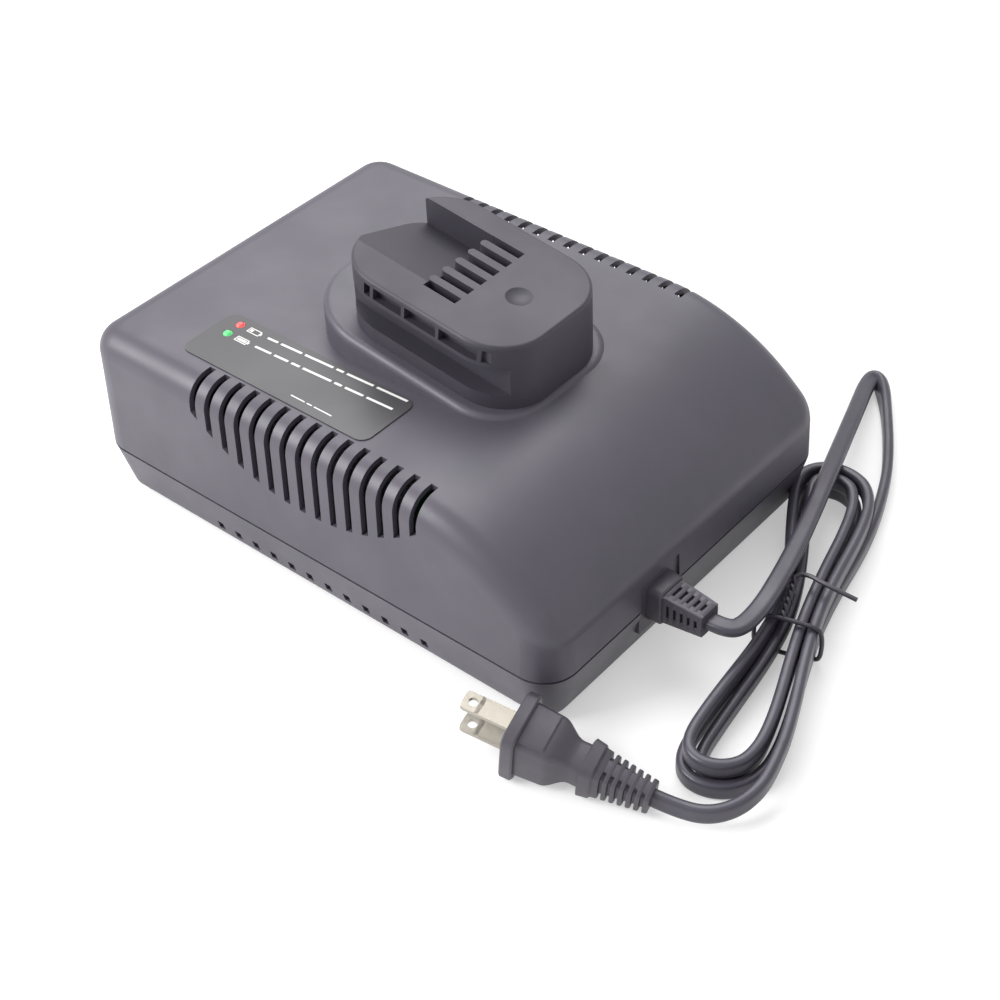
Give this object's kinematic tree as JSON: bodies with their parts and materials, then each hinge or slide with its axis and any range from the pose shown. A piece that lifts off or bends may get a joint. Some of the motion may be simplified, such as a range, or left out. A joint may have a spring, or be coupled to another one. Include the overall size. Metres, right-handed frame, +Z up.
{
  "type": "battery_charger",
  "caption": "Power tool battery charger: vented moulded case, slide-on battery dock on a wedge plinth, two status lamps and a tied mains cord with a flat-blade plug.",
  "frame": {"origin": "on the surface, under the middle of the case", "axes": "+X along the case towards the cord end, -Y the side with the status label, +Z up"},
  "size_m": [0.2671, 0.239, 0.1021],
  "materials": {
    "housing": "fine moulded texture, charcoal",
    "dock": "fine moulded texture, charcoal, rubbed on its top",
    "carrier": "plain black moulding",
    "contact_metal": "nickel-plated",
    "screw_steel": "zinc-plated",
    "label": "satin film",
    "red_lens": "clear tinted lens",
    "green_lens": "clear tinted lens",
    "board": "green solder mask",
    "ferrite": "sintered, dull",
    "winding_tape": "yellow insulating tape",
    "can_sleeve": "shrink sleeve",
    "sink_metal": "extruded, plain",
    "terminal": "moulded, green",
    "foot_rubber": "plain",
    "cord_rubber": "satin black sheath",
    "blade_metal": "nickel-plated brass",
    "tie_wrap": "paper-covered wire"
  },
  "bodies": {
    "root": {"lower_case": "housing", "upper_cover": "housing", "battery_dock": "dock", "contact_carrier": "carrier", "dock_contacts": "contact_metal", "dock_screws": "screw_steel", "status_label": "label", "red_lamp": "red_lens", "green_lamp": "green_lens", "lamp_board": "board", "main_board": "board", "board_screws": "screw_steel", "transformer_core": "ferrite", "transformer_winding": "winding_tape", "capacitors": "can_sleeve", "heat_sink": "sink_metal", "power_transistors": "carrier", "mains_fuse": "contact_metal", "filter_choke": "ferrite", "terminal_block": "terminal", "case_screws": "screw_steel", "rubber_feet": "foot_rubber", "cord_gland": "cord_rubber", "cord_lead": "cord_rubber", "cord_hank": "cord_rubber", "cord_tail": "cord_rubber", "plug_body": "cord_rubber", "plug_blades": "blade_metal", "twist_tie": "tie_wrap"}
  },
  "joints": []
}
